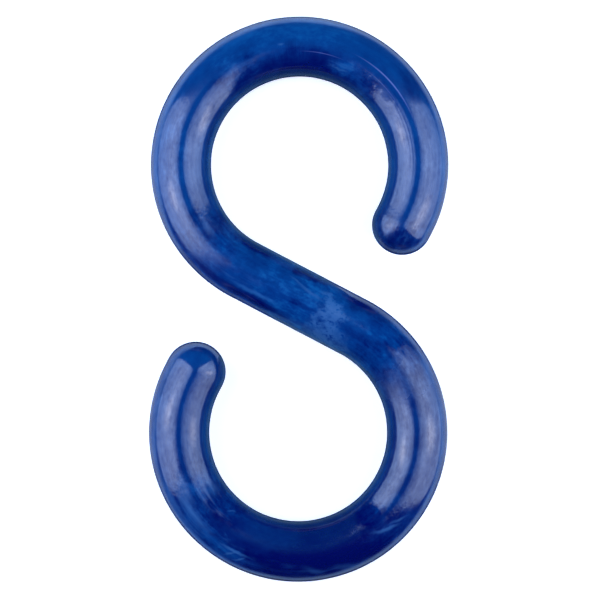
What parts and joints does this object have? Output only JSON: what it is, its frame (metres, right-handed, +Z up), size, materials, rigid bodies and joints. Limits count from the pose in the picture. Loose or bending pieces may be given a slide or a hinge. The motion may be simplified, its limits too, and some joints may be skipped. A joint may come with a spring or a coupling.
{
  "type": "s hook",
  "caption": "Moulded plastic S hook: a round rod bent into open eyes above and below a straight slanting shank, with hemispherical ends, for joining chain or hanging things.",
  "frame": {"origin": "under the middle of the shank, on the surface that the hook lies on", "axes": "+Y along the hook towards the upper eye, +X towards the side where the upper eye's tip ends, +Z up through the rod's thickness"},
  "size_m": [0.0402, 0.0762, 0.008],
  "materials": {
    "moulded_plastic": "gloss"
  },
  "bodies": {
    "root": {"s_hook": "moulded_plastic"}
  },
  "joints": []
}
